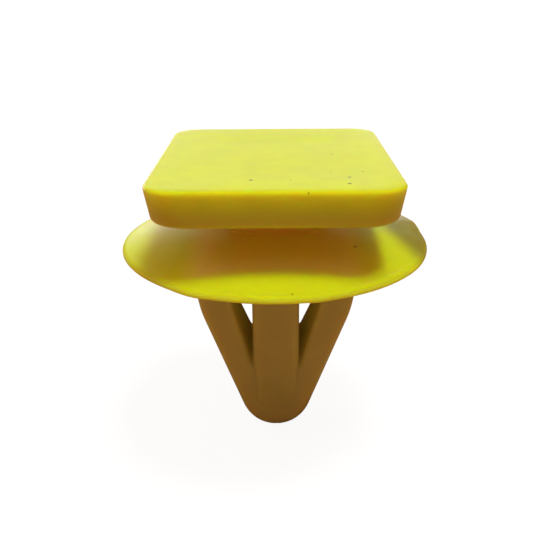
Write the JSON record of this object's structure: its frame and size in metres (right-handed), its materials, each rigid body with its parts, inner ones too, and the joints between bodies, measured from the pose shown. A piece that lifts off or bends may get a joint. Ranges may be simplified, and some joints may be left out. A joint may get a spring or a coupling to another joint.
{
  "type": "panel trim clip",
  "caption": "One-piece nylon trim clip: rounded rectangular head on a short neck, thin umbrella flange and a slotted barbed anchor with a rounded nose.",
  "frame": {"origin": "on the stem's axis, in the plane of the flange's lower edge, where the clip meets the sheet metal", "axes": "+Z along the stem towards the head, +X across the head's short side and the anchor's wide side, -Y the front"},
  "size_m": [0.024, 0.024, 0.0239],
  "materials": {
    "nylon": "natural satin sheen, lightly translucent yellow-green nylon"
  },
  "bodies": {
    "root": {"trim_clip": "nylon"}
  },
  "joints": []
}
